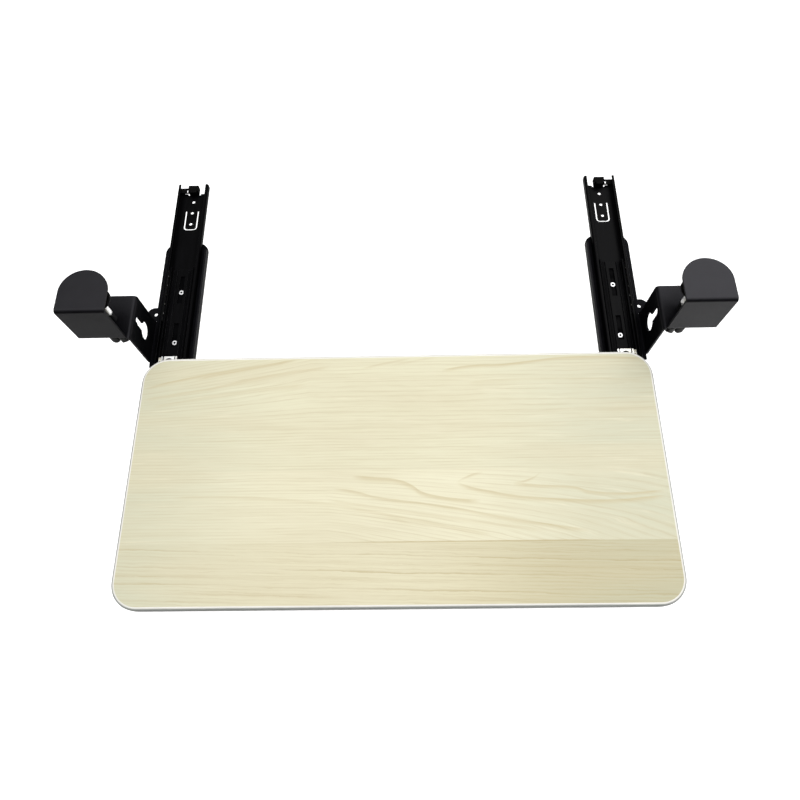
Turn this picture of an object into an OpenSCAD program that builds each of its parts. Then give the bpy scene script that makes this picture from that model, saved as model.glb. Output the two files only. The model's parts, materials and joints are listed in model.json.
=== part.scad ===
// Clamp-on pull-out keyboard tray, held under the front edge of a desk by two screw clamps.
// Frame: X = 0 midway between the clamps, Y = 0 on the desk's front edge and pointing under the desk,
// Z = 0 on the desk's top surface. The tray is drawn pulled right out.

/* [Tray board] */
// Width of the tray board
tray_w = 660; // [560:1:680]
// Depth of the tray board, front to back
tray_d = 318; // [290:1:360]
// Overall thickness of the board
tray_t = 16; // [12:1:20]
// Radius of the board's corners in plan
tray_corner_r = 33; // [20:1:60]
// Thickness of the moulded edge band
band_t = 4; // [3.8:0.1:7]
// Rounding of the edge band's top and bottom edges
band_round = 3.8; // [1:0.1:3.8]
// Thickness of the decor sheet on each face
decor_t = 0.8; // [0.4:0.1:1.2]
// Height of the tray's top below the desk's top
tray_drop = 102; // [90:1:130]
// How far the board's back edge stands in front of the desk's edge
tray_ahead = 12.8; // [5:0.1:30]
// Clear space at each side between the board and a clamp arm
side_gap = 6; // [5:0.5:20]

/* [Clamps] */
// Thickness of the folded steel plate
steel_t = 2.5; // [2:0.1:3]
// Inside radius of the plate's bends
bend_r = 2; // [1:0.1:3]
// Width of each clamp's jaw
jaw_w = 60; // [50:1:80]
// Reach of the jaw over the desk, from the desk's edge
jaw_reach = 55.5; // [45:0.5:70]
// Clear height from the top pad to the jaw's floor
throat_h = 62.5; // [54:0.5:70]
// Offset from the arm's inner face to the jaw's inner edge
jaw_offset = 4.5; // [3:0.5:20]
// Depth of the arm plate, from the desk's edge
arm_d = 59.5; // [56:0.5:70]
// Width of the arm's foot under the slide bracket
foot_w = 52; // [46:1:56]
// Thickness of the grip pads
pad_t = 2; // [1:0.1:3]
// Margin of the grip pads inside the steel edge
pad_margin = 3; // [2.6:0.1:6]
// Radius of the round end of the arm's window
window_r = 12.2; // [9:0.1:14]
// Half width of the narrow end of the arm's window
window_neck_r = 5.2; // [4:0.1:6]
// Length of the window between its two centres
window_l = 27.5; // [20:0.5:30]
// Distance of the window's centre from the desk's edge
window_y = 30.6; // [26:0.1:34]
// Depth of the round end's centre under the jaw's floor
window_drop = 39.5; // [38:0.5:46]

/* [Clamp screws] */
// Desk thickness that the clamps are set to
desk_t = 12; // [10:0.5:30]
// Thinnest desk that the clamps grip
desk_t_min = 10; // [8:0.5:10]
// Radius of the clamp screw
screw_r = 5; // [4:0.1:6]
// Running clearance around the clamp screw
screw_clear = 0.05; // [0.02:0.01:0.1]
// Radius of the pressure plate
press_r = 16; // [14:0.5:20]
// Radius of the pressure plate's swivel cup
cup_r = 9; // [8:0.5:11]
// Height of the pressure plate's swivel cup
cup_h = 7; // [6:0.5:9]
// Across-flats size of the clamp nut
nut_af = 17; // [15:0.5:20]
// Height of the clamp nut
nut_h = 6; // [5:0.5:9]
// Radius over the star knob's lobes
knob_r = 21; // [18:0.5:26]
// Clear space between the star knob and the arm
knob_gap = 1.5; // [1:0.1:6]
// Height of the star knob
knob_h = 18; // [15:0.5:24]
// Number of lobes on the star knob
knob_lobes = 8; // [6:1:9]
// Radius of each lobe
lobe_r = 5.5; // [4.5:0.1:6]

/* [Slides] */
// How far the slides' front ends stand in front of the desk's edge
slide_ahead = 15.4; // [5:0.1:20]
// Width of the ball bearing slides
slide_w = 45; // [43:0.5:48]
// Height of the slides, from their base to the board
slide_h = 12.7; // [12.4:0.1:14]
// Length of the outer member
outer_l = 303; // [300:1:330]
// Length of the middle and the inner members
member_l = 290; // [270:1:292]
// Travel of the tray from pulled out to pushed in
travel = 264; // [240:1:264]
// Thickness of the slide members
member_t = 1.2; // [1:0.05:1.3]
// Outside radius of the outer member's lower bends
lower_bend_r = 3.2; // [1.6:0.1:3.2]
// Outside radius of the outer member's upper bends
upper_bend_r = 2.6; // [1.4:0.1:2.6]
// Width of the outer member's lips
lip_w = 4; // [3:0.1:5]
// Radius of the larger balls, outside the middle member
big_ball_r = 2.3; // [2.1:0.05:2.4]
// Radius of the smaller balls, inside the middle member
small_ball_r = 1.7; // [1.5:0.05:1.8]
// Running clearance of the balls in their raceways
ball_clear = 0.08; // [0.03:0.01:0.12]
// Depth of the raceways pressed into the members
race_depth = 0.15; // [0.1:0.01:0.25]
// Thickness of the ball cages
cage_t = 0.5; // [0.4:0.05:0.6]
// Distance between neighbouring balls
ball_pitch = 15; // [12:0.5:18]
// Number of balls on each side of a cage
ball_count = 5; // [3:1:5]
// Length of a cage past its end balls
cage_end_l = 11.25; // [9:0.25:12]
// Distance from the outer member's front end to its first fixing screw
front_screw_y = 40; // [36:1:44]
// Distance between the two fixing screws of the outer member
screw_pitch = 80; // [76:1:84]
// Distance from the outer member's back end to its first round hole
end_hole_y = 25; // [22:0.5:26]
// Distance between the round holes at the outer member's back end
end_hole_pitch = 20; // [18:0.5:22]
// Length of the catch cut out of the outer member's base
catch_l = 23.5; // [20:0.5:28]
// Length of the plastic guide at the inner member's back end
guide_l = 26; // [20:1:30]

/* [Slide brackets] */
// Width of the bracket plate under each slide
bracket_w = 62; // [58:0.5:70]
// Length of the bracket plate
bracket_l = 200; // [180:1:220]
// Radius of the bracket plate's back corners
bracket_corner_r = 16; // [8:1:20]
// Height of the bracket plate's stiffening lip
lip_h = 8; // [5:0.5:9]
// Radius of the bracket plate's outer lug
lug_r = 10.5; // [8:0.5:12]
// Radius of the hole in the lug
lug_hole_r = 2.7; // [2:0.1:4]

/* [Screws] */
// Radius of the slide and tray screws
small_screw_r = 2; // [1.5:0.1:2.5]
// Radius of the bolts that hold the arm's foot
foot_bolt_r = 2.5; // [2:0.1:3]
// Play between a fixing screw and its hole
hole_play = 0.1; // [0.05:0.05:0.3]

/* [Hidden] */
$fn = 48;
SIDES = ["left", "right"];

black_steel = "#2b2b2e";
rail_black = "#1b1b1d";
zinc = "#c9cbcc";
rubber_black = "#161616";

// Heights, from the desk's top down
tray_top_z = -tray_drop;
tray_bottom_z = tray_top_z - tray_t;
slide_base_z = tray_bottom_z - slide_h;
plate_bottom_z = slide_base_z - steel_t;
foot_bottom_z = plate_bottom_z - steel_t;
jaw_top_z = pad_t + steel_t;
floor_top_z = -throat_h;
floor_bottom_z = floor_top_z - steel_t;

// Places across the width, on the right-hand side
arm_x = tray_w / 2 + side_gap;
jaw_x0 = arm_x + jaw_offset;
jaw_x = jaw_x0 + jaw_w / 2;
screw_x = arm_x + steel_t + knob_gap + knob_r;
plate_x1 = arm_x - 0.5;
plate_x0 = plate_x1 - bracket_w;
slide_x = (plate_x0 + plate_x1) / 2;

// Places front to back
tray_back_y = -tray_ahead;
tray_y = tray_back_y - tray_d / 2;
slide_y0 = -slide_ahead;
slide_y1 = slide_y0 + outer_l;
stop_y = slide_y1 - 11;
bumper_t = 3;
stop_gap = 0.5;
middle_y1 = stop_y - bumper_t - stop_gap - travel / 2;
middle_y0 = middle_y1 - member_l;
inner_y1 = tray_back_y + 11;
inner_y0 = inner_y1 - member_l;
bracket_y0 = slide_y0 + 4;
screw_y = jaw_reach - jaw_w / 2;

// Slide section: half widths, and heights above the slide's base
flange_top = slide_h - 1;
outer_hw = slide_w / 2;
big_race_hw = outer_hw - member_t + race_depth - big_ball_r - ball_clear;
middle_hw = big_race_hw - big_ball_r - ball_clear + race_depth;
small_race_hw = middle_hw - member_t + race_depth - small_ball_r - ball_clear;
inner_hw = small_race_hw - small_ball_r - ball_clear + race_depth;
middle_base = member_t + cage_t + 0.5;
inner_bottom = middle_base + member_t + cage_t + 0.7;
ball_h = (middle_base + member_t + slide_h - member_t) / 2 - 0.6;
middle_top = flange_top - member_t - 0.4;

// ---------------------------------------------------------------- helpers

// Draws its children on the named side: they are modelled on the right
module on_side(s) {
    if (s == "left") mirror([1, 0, 0]) children();
    else children();
}

// Rectangle with round corners, centred
module rounded_rect(w, d, r) {
    square([w - 2 * r, d], center = true);
    square([w, d - 2 * r], center = true);
    for (x = [-1, 1], y = [-1, 1])
        translate([x * (w / 2 - r), y * (d / 2 - r)]) circle(r);
}

// Quarter bend of plate about the Y axis, from +X round to +Z, starting at y = 0
module bend(len, r_in = bend_r) {
    translate([0, len, 0]) rotate([90, 0, 0])
        rotate_extrude(angle = 90) translate([r_in, 0]) square([steel_t, len]);
}

// Countersunk screw pointing down, its flat head at z = 0
module csk_screw(r, len, grow = 0) {
    head_h = 0.7 * r;
    translate([0, 0, -len]) cylinder(r = r + grow, h = len);
    translate([0, 0, -head_h]) cylinder(r1 = r + grow, r2 = r + head_h + grow, h = head_h);
}

// Hexagon nut standing on z = 0
module hex_nut(af, h, bore_r) {
    difference() {
        intersection() {
            cylinder(r = af / sqrt(3), h = h, $fn = 6);
            rotate_extrude() polygon([[0, 0], [af / 2, 0], [af / sqrt(3), 0.12 * af],
                [af / sqrt(3), h - 0.12 * af], [af / 2, h], [0, h]]);
        }
        translate([0, 0, -1]) cylinder(r = bore_r, h = h + 2);
    }
}

// ---------------------------------------------------------------- tray board

module board_prism(h, inset) {
    translate([0, tray_y, 0]) linear_extrude(h)
        rounded_rect(tray_w - 2 * inset, tray_d - 2 * inset, tray_corner_r - inset);
}

// Screw places under the board, as distances back from the inner member's front end
tray_screw_from_front = [24, 114, 214];

module tray_screw_holes() {
    for (s = [-1, 1], d = tray_screw_from_front)
        translate([s * slide_x, inner_y0 + d, tray_bottom_z - 1])
            cylinder(r = small_screw_r + hole_play, h = 1 + tray_t - 5 + hole_play);
}

module tray_core() {
    color("#d8c69c") difference() {
        translate([0, 0, tray_bottom_z + decor_t]) board_prism(tray_t - 2 * decor_t, band_t);
        tray_screw_holes();
    }
}

module tray_top_decor() {
    color("#eadfbe") translate([0, 0, tray_top_z - decor_t]) board_prism(decor_t, band_t);
}

module tray_bottom_decor() {
    color("#e6dcc0") difference() {
        translate([0, 0, tray_bottom_z]) board_prism(decor_t, band_t);
        tray_screw_holes();
    }
}

// Section of the edge band: x runs outwards from the core, y up
module band_section() {
    square([band_t - band_round, tray_t]);
    translate([0, band_round]) square([band_t, tray_t - 2 * band_round]);
    for (y = [band_round, tray_t - band_round]) intersection() {
        translate([band_t - band_round, y]) circle(band_round);
        square([band_t, tray_t]);
    }
}

module band_run(len) {
    translate([0, len / 2, 0]) rotate([90, 0, 0]) linear_extrude(len) band_section();
}

module tray_edge_band() {
    half_w = tray_w / 2 - band_t;
    half_d = tray_d / 2 - band_t;
    core_r = tray_corner_r - band_t;
    color("#eeeae0") translate([0, tray_y, tray_bottom_z]) {
        for (turn = [0, 180]) rotate(turn) {
            translate([half_w, 0, 0]) band_run(tray_d - 2 * tray_corner_r);
            rotate(90) translate([half_d, 0, 0]) band_run(tray_w - 2 * tray_corner_r);
        }
        for (x = [0, 1], y = [0, 1]) mirror([x, 0, 0]) mirror([0, y, 0])
            translate([half_w - core_r, half_d - core_r, 0])
                rotate_extrude(angle = 90) translate([core_r, 0]) band_section();
    }
}

// ---------------------------------------------------------------- clamps

// D-shaped plan of the jaw's top, its straight edge on y = 0
module jaw_plan(w, reach) {
    translate([-w / 2, 0]) square([w, reach - w / 2]);
    translate([0, reach - w / 2]) intersection() {
        circle(w / 2, $fn = 96);
        translate([-w / 2, -0.01]) square([w, w]);
    }
}

// Keyhole window, drawn in the arm's own plane: x is Y, y is Z
module window_plan() {
    translate([window_y, floor_bottom_z - window_drop]) {
        circle(window_r);
        translate([0, window_l]) circle(window_neck_r);
        translate([-window_neck_r, 0]) square([2 * window_neck_r, window_l]);
    }
}

module foot_bolt_places() {
    for (x = [slide_x - 13, slide_x + 15], y = [9, arm_d - 11])
        translate([x, y, 0]) children();
}

module jaw_plates() {
    // Top plate, front plate and floor, with the two bends between them
    translate([jaw_x, 0, pad_t]) linear_extrude(steel_t) difference() {
        jaw_plan(jaw_w, jaw_reach);
        translate([-jaw_w, -1]) square([2 * jaw_w, 1 + bend_r]);
    }
    translate([jaw_x0, -steel_t, floor_top_z + bend_r])
        cube([jaw_w, steel_t, throat_h + pad_t - 2 * bend_r]);
    translate([jaw_x0, bend_r, floor_bottom_z]) cube([jaw_w, arm_d - bend_r, steel_t]);
    translate([jaw_x0, bend_r, pad_t - bend_r]) rotate([0, 0, -90]) bend(jaw_w);
    translate([jaw_x0, bend_r, floor_top_z + bend_r]) mirror([0, 0, 1])
        rotate([0, 0, -90]) bend(jaw_w);
}

module arm_plates() {
    r_out = bend_r + steel_t;
    arm_y0 = -steel_t;
    arm_len = arm_d + steel_t;
    // Floor running in from the jaw, the hanging plate and its foot
    translate([arm_x + r_out, bend_r, floor_bottom_z])
        cube([max(jaw_offset - r_out, 0) + 1, arm_d - bend_r, steel_t]);
    translate([arm_x, arm_y0, plate_bottom_z + bend_r])
        cube([steel_t, arm_len, floor_bottom_z - bend_r - plate_bottom_z - bend_r]);
    translate([arm_x - bend_r - foot_w, arm_y0, foot_bottom_z]) cube([foot_w, arm_len, steel_t]);
    translate([arm_x + r_out, arm_y0, floor_bottom_z - bend_r]) mirror([1, 0, 0]) bend(arm_len);
    translate([arm_x - bend_r, arm_y0, plate_bottom_z + bend_r]) mirror([0, 0, 1]) bend(arm_len);
}

module clamp_bracket() {
    color(black_steel) difference() {
        union() {
            jaw_plates();
            arm_plates();
        }
        translate([screw_x, screw_y, floor_bottom_z - 1])
            cylinder(r = screw_r + screw_clear, h = steel_t + 2);
        translate([arm_x - 1, 0, 0]) rotate([90, 0, 90])
            linear_extrude(steel_t + 2) window_plan();
        foot_bolt_places() translate([0, 0, foot_bottom_z - 1])
            cylinder(r = foot_bolt_r + hole_play, h = steel_t + 2);
        slide_screw_places() translate([0, 0, foot_bottom_z - 1])
            cylinder(r = small_nut_af / sqrt(3) + 1, h = steel_t + 2);
    }
}

module clamp_pad() {
    color(rubber_black) translate([jaw_x, bend_r + pad_margin, 0]) linear_extrude(pad_t)
        jaw_plan(jaw_w - 2 * pad_margin, jaw_reach - bend_r - 2 * pad_margin);
}

// Nut welded under the jaw's floor
module clamp_nut() {
    color(black_steel) translate([screw_x, screw_y, floor_bottom_z - nut_h])
        hex_nut(nut_af, nut_h, screw_r + screw_clear);
}

// Swivel joint between the screw's tip and the pressure plate
press_top_z = -desk_t - pad_t;
cup_top_z = press_top_z - steel_t;
cup_bottom_z = cup_top_z - cup_h;
tip_h = cup_h - 2;
tip_play = 0.2;
neck_r = screw_r - 1.5;

module pressure_plate() {
    color(black_steel) translate([screw_x, screw_y, 0]) difference() {
        rotate_extrude($fn = 72) polygon([
            [0, press_top_z], [press_r - 1, press_top_z], [press_r, press_top_z - 1],
            [press_r, cup_top_z], [cup_r + 2, cup_top_z], [cup_r, cup_top_z - 2],
            [cup_r, cup_bottom_z], [0, cup_bottom_z]
        ]);
        translate([0, 0, cup_top_z - tip_h])
            cylinder(r = screw_r + tip_play, h = tip_h);
        translate([0, 0, cup_bottom_z - 1]) cylinder(r = neck_r + tip_play, h = cup_h);
    }
}

module pressure_pad() {
    color(rubber_black) translate([screw_x, screw_y, press_top_z])
        cylinder(r = press_r - 1, h = pad_t, $fn = 72);
}

knob_top_z = floor_bottom_z - nut_h - (desk_t - desk_t_min) - 1;
knob_bottom_z = knob_top_z - knob_h;
knob_boss_h = 3;
knob_socket_z = knob_bottom_z + 5;

module clamp_screw() {
    tip_top = cup_top_z - tip_play;
    neck_top = cup_top_z - tip_h + tip_play;
    thread_top = cup_bottom_z - tip_play;
    color(zinc) translate([screw_x, screw_y, 0]) rotate_extrude() polygon([
        [0, knob_socket_z], [screw_r - 1, knob_socket_z], [screw_r, knob_socket_z + 1],
        [screw_r, thread_top], [neck_r, thread_top], [neck_r, neck_top], [screw_r, neck_top],
        [screw_r, tip_top - 1], [screw_r - 1, tip_top], [0, tip_top]
    ]);
}

// Plan of the star knob, with a hollow between two lobes at the front
module knob_plan() {
    waist_r = knob_r - lobe_r;
    circle(waist_r);
    for (i = [0:knob_lobes - 1]) rotate((i + 0.5) * 360 / knob_lobes - 90) {
        translate([waist_r, 0]) circle(lobe_r, $fn = 32);
        translate([0, -0.8 * lobe_r]) square([waist_r, 1.6 * lobe_r]);
    }
}

module star_knob() {
    body_top = knob_top_z - knob_boss_h;
    soft = 3;
    color(rubber_black) translate([screw_x, screw_y, 0]) difference() {
        union() {
            intersection() {
                translate([0, 0, knob_bottom_z]) linear_extrude(knob_h - knob_boss_h) knob_plan();
                rotate_extrude($fn = 72) polygon([
                    [0, knob_bottom_z], [knob_r - soft, knob_bottom_z],
                    for (a = [-75:15:75]) [knob_r - soft + soft * cos(a),
                        (a < 0 ? knob_bottom_z + soft : body_top - soft) + soft * sin(a)],
                    [knob_r - soft, body_top], [0, body_top]
                ]);
            }
            translate([0, 0, body_top - 1])
                cylinder(r1 = screw_r + 8, r2 = screw_r + 6, h = knob_boss_h + 1);
        }
        translate([0, 0, knob_socket_z - hole_play])
            cylinder(r = screw_r + hole_play, h = knob_h);
    }
}

// ---------------------------------------------------------------- slide brackets

// The screws that hold the outer member stand where the middle member's windows show them
slide_screw_y = [for (i = [0, 1]) slide_y0 + front_screw_y + i * screw_pitch];
small_nut_af = 3.5 * small_screw_r;
foot_nut_af = 3.2 * foot_bolt_r;

module slide_screw_places() {
    for (y = slide_screw_y) translate([slide_x, y, 0]) children();
}

lug_gap = 0.3;
lug_y = arm_d + lug_r + lug_gap;

module bracket_plan() {
    w = bracket_w;
    r = bracket_corner_r;
    translate([plate_x0, bracket_y0]) square([w, bracket_l - r]);
    translate([plate_x0 + r, bracket_y0]) square([w - 2 * r, bracket_l]);
    for (x = [plate_x0 + r, plate_x1 - r]) translate([x, bracket_y0 + bracket_l - r]) circle(r);
    translate([plate_x1 + 3, lug_y]) circle(lug_r);
    translate([plate_x1 - 1, lug_y - lug_r]) square([4, 2 * lug_r]);
}

module slide_bracket() {
    color(black_steel) difference() {
        union() {
            translate([0, 0, plate_bottom_z]) linear_extrude(steel_t) bracket_plan();
            translate([plate_x0, bracket_y0, plate_bottom_z])
                cube([steel_t, bracket_l - bracket_corner_r, steel_t + lip_h]);
        }
        // Relief beside the arm's lower bend
        translate([arm_x - bend_r - 0.3, -steel_t - 1, plate_bottom_z - 1])
            cube([2 * bend_r + 3, arm_d + steel_t + 1 + lug_gap, steel_t + 2]);
        translate([plate_x1 + 1.2, lug_y, plate_bottom_z - 1])
            cylinder(r = lug_hole_r, h = steel_t + 2);
        foot_bolt_places() translate([0, 0, slide_base_z])
            csk_screw(foot_bolt_r, steel_t + 1, hole_play);
        slide_screw_places() translate([0, 0, slide_base_z + member_t])
            csk_screw(small_screw_r, steel_t + member_t + 1, hole_play);
    }
}

module foot_bolts() {
    color(zinc) foot_bolt_places() translate([0, 0, slide_base_z])
        csk_screw(foot_bolt_r, 2 * steel_t + foot_bolt_r * 1.6 + 1);
}

module foot_nuts() {
    color(zinc) foot_bolt_places() translate([0, 0, foot_bottom_z - foot_bolt_r * 1.6])
        hex_nut(foot_nut_af, foot_bolt_r * 1.6, foot_bolt_r + screw_clear);
}

module slide_screws() {
    socket_r = 0.6 * small_screw_r;
    color(zinc) slide_screw_places() translate([0, 0, slide_base_z + member_t]) difference() {
        csk_screw(small_screw_r, member_t + steel_t + small_screw_r * 1.6 + 0.8);
        translate([0, 0, -0.9 * small_screw_r]) cylinder(r = socket_r, h = small_screw_r, $fn = 6);
    }
}

module slide_nuts() {
    color(zinc) slide_screw_places()
        translate([0, 0, plate_bottom_z - small_screw_r * 1.6])
            hex_nut(small_nut_af, small_screw_r * 1.6, small_screw_r + screw_clear);
}

// ---------------------------------------------------------------- slides

// Quarter ring of member plate, bulging towards +x and -y
module section_bend(r) {
    intersection() {
        difference() {
            circle(r);
            if (r > member_t) circle(r - member_t);
        }
        translate([0, -r]) square(r);
    }
}

// Half of an upward-facing channel's section: x is the distance from the slide's middle line
module channel_half(hw, base, top, curl, race_hw, race_h, race_r, low_r = 1.6, up_r = 0.6) {
    difference() {
        union() {
            translate([0, base]) square([hw - low_r, member_t]);
            translate([hw - low_r, base + low_r]) section_bend(low_r);
            translate([hw - member_t, base + low_r]) square([member_t, top - base - low_r - up_r]);
            translate([hw - up_r, top - up_r]) mirror([0, 1]) section_bend(up_r);
            translate([hw - curl, top - member_t]) square([curl - up_r, member_t]);
        }
        translate([race_hw, race_h]) circle(race_r);
    }
}

// A channel drawn along Y, from y0 to y0 + len, on the slide's middle line
module channel(y0, len, hw, base, top, curl, race_hw, race_r, low_r = 1.6, up_r = 0.6) {
    translate([slide_x, y0 + len, slide_base_z]) rotate([90, 0, 0]) linear_extrude(len)
        for (s = [0, 1]) mirror([s, 0])
            channel_half(hw, base, top, curl, race_hw, ball_h, race_r, low_r, up_r);
}

tab_hw = 7;
tab_h = 9;
notch_w = 2.5;
end_hole_r = 2.3;
catch_hw = 8.9;
catch_tip = 9.8;
catch_corner_r = 4.5;
cut_hw = 1;

module outer_slide() {
    web_end = stop_y + member_t;
    color(rail_black) {
        difference() {
            channel(slide_y0, outer_l, outer_hw, 0, flange_top, lip_w, big_race_hw,
                big_ball_r + ball_clear, lower_bend_r, upper_bend_r);
            // The base stops short of the flanges, with a notch on each side of the stop tab
            translate([slide_x, slide_y1, slide_base_z - 1]) linear_extrude(member_t + 2)
                rounded_rect(slide_w - 4.8, 2 * (slide_y1 - web_end), 8);
            for (s = [-1, 1]) translate([slide_x + s * (tab_hw + notch_w / 2), web_end, slide_base_z])
                cube([notch_w, 2 * (member_t + notch_w / 2), 3 * member_t], center = true);
            translate([slide_x, 0, slide_base_z - 1]) {
                for (i = [0:2]) translate([0, slide_y1 - end_hole_y - i * end_hole_pitch, 0])
                    cylinder(r = end_hole_r, h = member_t + 2);
                translate([0, slide_y1 - end_hole_y - 2 * end_hole_pitch, 0])
                    linear_extrude(member_t + 2) catch_cut();
            }
            slide_screw_places() translate([0, 0, slide_base_z + member_t])
                csk_screw(small_screw_r, steel_t, hole_play);
        }
        translate([slide_x - tab_hw, stop_y, slide_base_z]) cube([2 * tab_hw, member_t, tab_h]);
    }
}

// Plan of the catch, grown all round except at its root, its round-cornered tip towards -y
module catch_plan(grow) {
    hw = catch_hw + grow;
    r = catch_corner_r + grow;
    tip = -catch_tip - grow;
    translate([-hw, tip + r]) square([2 * hw, catch_l - tip - r]);
    translate([r - hw, tip]) square([2 * (hw - r), r]);
    for (s = [-1, 1]) translate([s * (hw - r), tip + r]) circle(r);
}

// U-shaped cut around the catch in the outer member's base
module catch_cut() {
    difference() {
        catch_plan(cut_hw);
        catch_plan(-cut_hw);
    }
}

// Block with soft edges, standing along Y
module soft_block(w, len, h, r) {
    translate([w / 2, len, h / 2]) rotate([90, 0, 0]) linear_extrude(len) rounded_rect(w, h, r);
}

// Moulded over the stop tab, with a wing out to the slide's outer flange
module slide_bumper() {
    block_hw = tab_hw + 0.6;
    block_top = tab_h + 1.4;
    block_y1 = slide_y1 - 1.5;
    wing_x1 = outer_hw - member_t - 0.1;
    wing_y0 = stop_y;
    wing_t = 2.5;
    hole_w = 3;
    hole_l = 6;
    color(rubber_black) translate([slide_x, 0, slide_base_z]) difference() {
        union() {
            translate([-5, stop_y - bumper_t, 2.6]) soft_block(10, bumper_t + 3, block_top - 2.6, 1);
            translate([-block_hw, stop_y, 0]) soft_block(2 * block_hw, block_y1 - stop_y, block_top, 1.5);
            translate([0, wing_y0, lower_bend_r])
                cube([wing_x1, block_y1 - 1 - wing_y0, wing_t]);
        }
        translate([-tab_hw, stop_y, -1]) cube([2 * tab_hw, member_t, tab_h + 1]);
        translate([block_hw + 0.6 + hole_w / 2, wing_y0 + 0.8 + hole_l / 2, 0])
            linear_extrude(block_top) rounded_rect(hole_w, hole_l, 1.4);
    }
}

// Windows cut through the middle member's base, as [back end, length] from its back end
middle_windows = [[11, 45], [87, 37], [155, 42], [225, 42]];
window_hw = 3.5;

// Grooves pressed along the middle member's base, as [distance from its middle line, width]
base_grooves = [[7, 1.7], [12, 1.9]];
groove_depth = 0.6;

module middle_slide() {
    color(rail_black) difference() {
        channel(middle_y0, member_l, middle_hw, middle_base, middle_top, 2.2, big_race_hw,
            big_ball_r + ball_clear);
        translate([slide_x, middle_y0 - 1, slide_base_z + ball_h]) rotate([-90, 0, 0])
            for (s = [-1, 1]) translate([s * small_race_hw, 0, 0])
                cylinder(r = small_ball_r + ball_clear, h = member_l + 2);
        for (w = middle_windows)
            translate([slide_x - window_hw, middle_y1 - w[0] - w[1], slide_base_z + middle_base - 1])
                cube([2 * window_hw, w[1], member_t + 2]);
        for (s = [-1, 1], g = base_grooves)
            translate([slide_x + s * (g[0] + g[1] / 2), middle_y1 - member_l / 2,
                slide_base_z + middle_base + member_t])
                cube([g[1], member_l + 2, 2 * groove_depth], center = true);
    }
}

// The inner member's back end: a tongue between two prongs, with the walls cut short
tongue_hw = 7;
tongue_l = 10;
prong_hw = 10.5;
prong_gap = 1.5;

module inner_slide() {
    end_hole_d = 7.6;
    color(zinc) difference() {
        // The inner member is a channel turned over, its base against the board
        translate([slide_x, inner_y1, tray_bottom_z]) mirror([0, 0, 1]) rotate([90, 0, 0])
            linear_extrude(member_l) for (s = [0, 1]) mirror([s, 0])
                channel_half(inner_hw, 0, slide_h - inner_bottom, member_t,
                    small_race_hw, slide_h - ball_h, small_ball_r + ball_clear);
        translate([slide_x, inner_y1 - end_hole_d, tray_bottom_z - member_t - 1])
            cylinder(r = 5, h = member_t + 2);
        for (d = tray_screw_from_front)
            translate([slide_x, inner_y0 + d, tray_bottom_z - member_t - 1])
                cylinder(r = small_screw_r + hole_play, h = member_t + 2);
        for (s = [-1, 1], cut = [[tongue_hw, prong_gap], [prong_hw, inner_hw]])
            translate([slide_x + s * (cut[0] + cut[1] / 2), inner_y1, tray_bottom_z])
                cube([cut[1], 2 * tongue_l, 2 * slide_h], center = true);
    }
}

module tray_screws() {
    head_h = 1.1 * small_screw_r;
    color(zinc) for (d = tray_screw_from_front)
        translate([slide_x, inner_y0 + d, tray_bottom_z - member_t]) {
            cylinder(r = small_screw_r, h = member_t + tray_t - 5);
            translate([0, 0, -head_h]) difference() {
                rotate_extrude() polygon([[0, 0], [1.5 * small_screw_r, 0],
                    [1.95 * small_screw_r, 0.5 * head_h], [1.95 * small_screw_r, head_h],
                    [0, head_h]]);
                translate([0, 0, -0.1])
                    cylinder(r = 0.7 * small_screw_r, h = 0.6 * head_h, $fn = 6);
            }
        }
}

guide_inset = 1;

module rail_end_guide() {
    guide_t = 2;
    guide_h = slide_h - inner_bottom - 1.4;
    tab_w = inner_hw - prong_hw - 0.4;
    tab_l = tongue_l - guide_inset - 0.5;
    color("#e9e4d2") translate([slide_x + inner_hw, inner_y1 - guide_l - guide_inset,
        slide_base_z + inner_bottom]) difference() {
        union() {
            cube([guide_t, guide_l, guide_h]);
            translate([-tab_w, guide_l - tab_l, 0]) cube([tab_w + 1, tab_l, guide_h]);
        }
        for (i = [0, 1]) translate([-tab_w + 0.7, guide_l - tab_l + 1.2 + i * tab_l / 2, guide_h - 3])
            cube([tab_w + guide_t - 1.4, tab_l / 2 - 1.8, 4]);
    }
}

// ---------------------------------------------------------------- ball cages

cage_l = (ball_count - 1) * ball_pitch + 2 * cage_end_l;
cage_inset = 2.5;
outer_cage_y0 = middle_y1 - cage_inset - cage_l;
inner_cage_y0 = inner_y1 - guide_l - 15 - cage_l;

module ball_places(y0, hw) {
    for (s = [-1, 1], i = [0:ball_count - 1])
        translate([slide_x + s * hw, y0 + cage_end_l + i * ball_pitch, slide_base_z + ball_h])
            children();
}

// Two strips with a hole for each ball, joined by a bridge at each end
module ball_cage(y0, hw, base, ball_r) {
    bridge_l = 8;
    top = ball_h + ball_r + 0.3;
    difference() {
        translate([slide_x, 0, slide_base_z]) {
            for (s = [-1, 1]) translate([s * hw - cage_t / 2, y0, base])
                cube([cage_t, cage_l, top - base]);
            for (y = [y0, y0 + cage_l - bridge_l]) translate([-hw, y, base])
                cube([2 * hw, bridge_l, cage_t]);
        }
        ball_places(y0, hw) rotate([0, 90, 0])
            translate([0, 0, -2]) cylinder(r = ball_r + 0.05, h = 4);
    }
}

module outer_ball_cage() {
    color(zinc) ball_cage(outer_cage_y0, big_race_hw, member_t + 0.25, big_ball_r);
}

module outer_balls() {
    color("#d8dadc") ball_places(outer_cage_y0, big_race_hw) sphere(big_ball_r, $fn = 32);
}

module inner_ball_cage() {
    color(zinc) ball_cage(inner_cage_y0, small_race_hw, middle_base + member_t + 0.3,
        small_ball_r);
}

module inner_balls() {
    color("#d8dadc") ball_places(inner_cage_y0, small_race_hw) sphere(small_ball_r, $fn = 32);
}

// ---------------------------------------------------------------- the part

tray_core();
tray_top_decor();
tray_bottom_decor();
tray_edge_band();

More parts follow.
